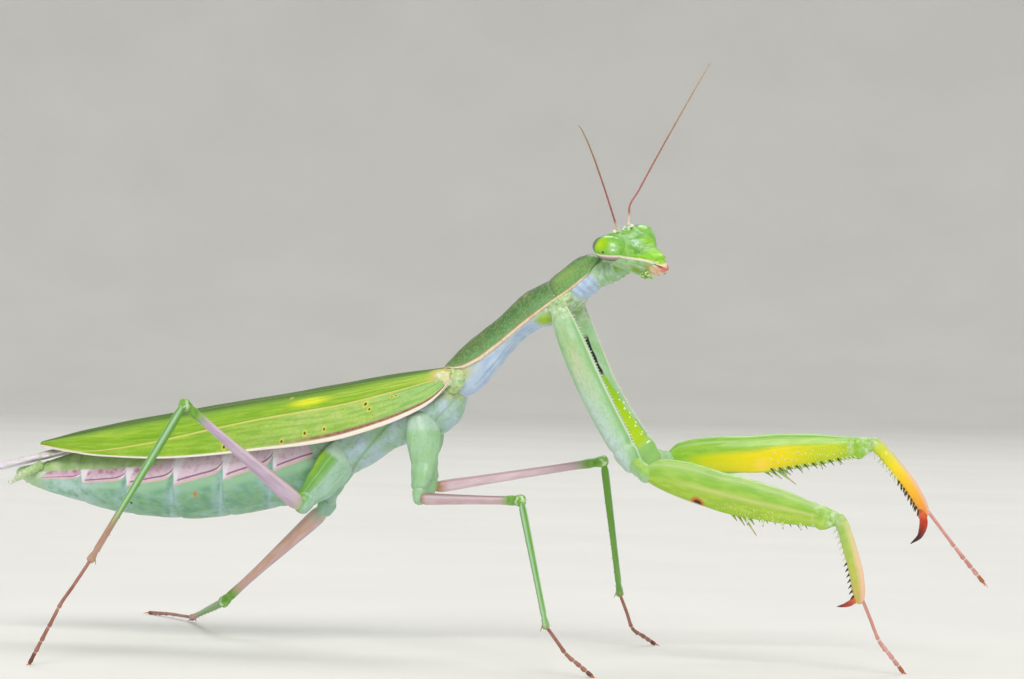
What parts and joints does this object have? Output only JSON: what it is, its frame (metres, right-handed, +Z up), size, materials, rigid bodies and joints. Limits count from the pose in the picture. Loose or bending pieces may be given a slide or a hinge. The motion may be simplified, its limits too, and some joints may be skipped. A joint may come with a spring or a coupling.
{
  "type": "praying mantis",
  "caption": "Praying mantis at life size, standing still with its spined fore legs reaching out and its green wings folded along its back.",
  "frame": {"origin": "middle of the footprint, on the floor that the feet stand on", "axes": "+X the way the mantis heads, +Y to its left, +Z up"},
  "size_m": [0.1022, 0.0677, 0.059],
  "materials": {
    "eye": "smooth and shiny",
    "head_shell": "satin",
    "mouth_shell": "satin",
    "feeler": "satin",
    "neck_skin": "soft and wrinkled",
    "back_shell": "satin",
    "side_shell": "satin",
    "abdomen_shell": "satin",
    "fore_wing": "satin with fine veins",
    "hind_wing": "thin and pale",
    "fore_leg_shell": "satin",
    "walking_leg_shell": "satin",
    "foot": "satin"
  },
  "bodies": {
    "root": {"abdomen": "abdomen_shell", "antenna_left": "feeler", "antenna_right": "feeler", "cercus_left": "abdomen_shell", "cercus_right": "abdomen_shell", "coxa_fore_left": "fore_leg_shell", "coxa_fore_right": "fore_leg_shell", "coxa_hind_left": "walking_leg_shell", "coxa_hind_right": "walking_leg_shell", "coxa_mid_left": "walking_leg_shell", "coxa_mid_right": "walking_leg_shell", "eye_left": "eye", "eye_right": "eye", "femur_fore_left": "fore_leg_shell", "femur_fore_right": "fore_leg_shell", "femur_hind_left": "walking_leg_shell", "femur_hind_right": "walking_leg_shell", "femur_mid_left": "walking_leg_shell", "femur_mid_right": "walking_leg_shell", "head": "head_shell", "hindwing_left": "hind_wing", "hindwing_right": "hind_wing", "mouthparts": "mouth_shell", "neck": "neck_skin", "prothorax": "back_shell", "tarsus_fore_left": "foot", "tarsus_fore_right": "foot", "tarsus_hind_left": "foot", "tarsus_hind_right": "foot", "tarsus_mid_left": "foot", "tarsus_mid_right": "foot", "tegmen_left": "fore_wing", "tegmen_right": "fore_wing", "thorax": "side_shell", "tibia_fore_left": "fore_leg_shell", "tibia_fore_right": "fore_leg_shell", "tibia_hind_left": "walking_leg_shell", "tibia_hind_right": "walking_leg_shell", "tibia_mid_left": "walking_leg_shell", "tibia_mid_right": "walking_leg_shell", "trochanter_fore_left": "fore_leg_shell", "trochanter_fore_right": "fore_leg_shell", "trochanter_hind_left": "walking_leg_shell", "trochanter_hind_right": "walking_leg_shell", "trochanter_mid_left": "walking_leg_shell", "trochanter_mid_right": "walking_leg_shell"}
  },
  "joints": []
}
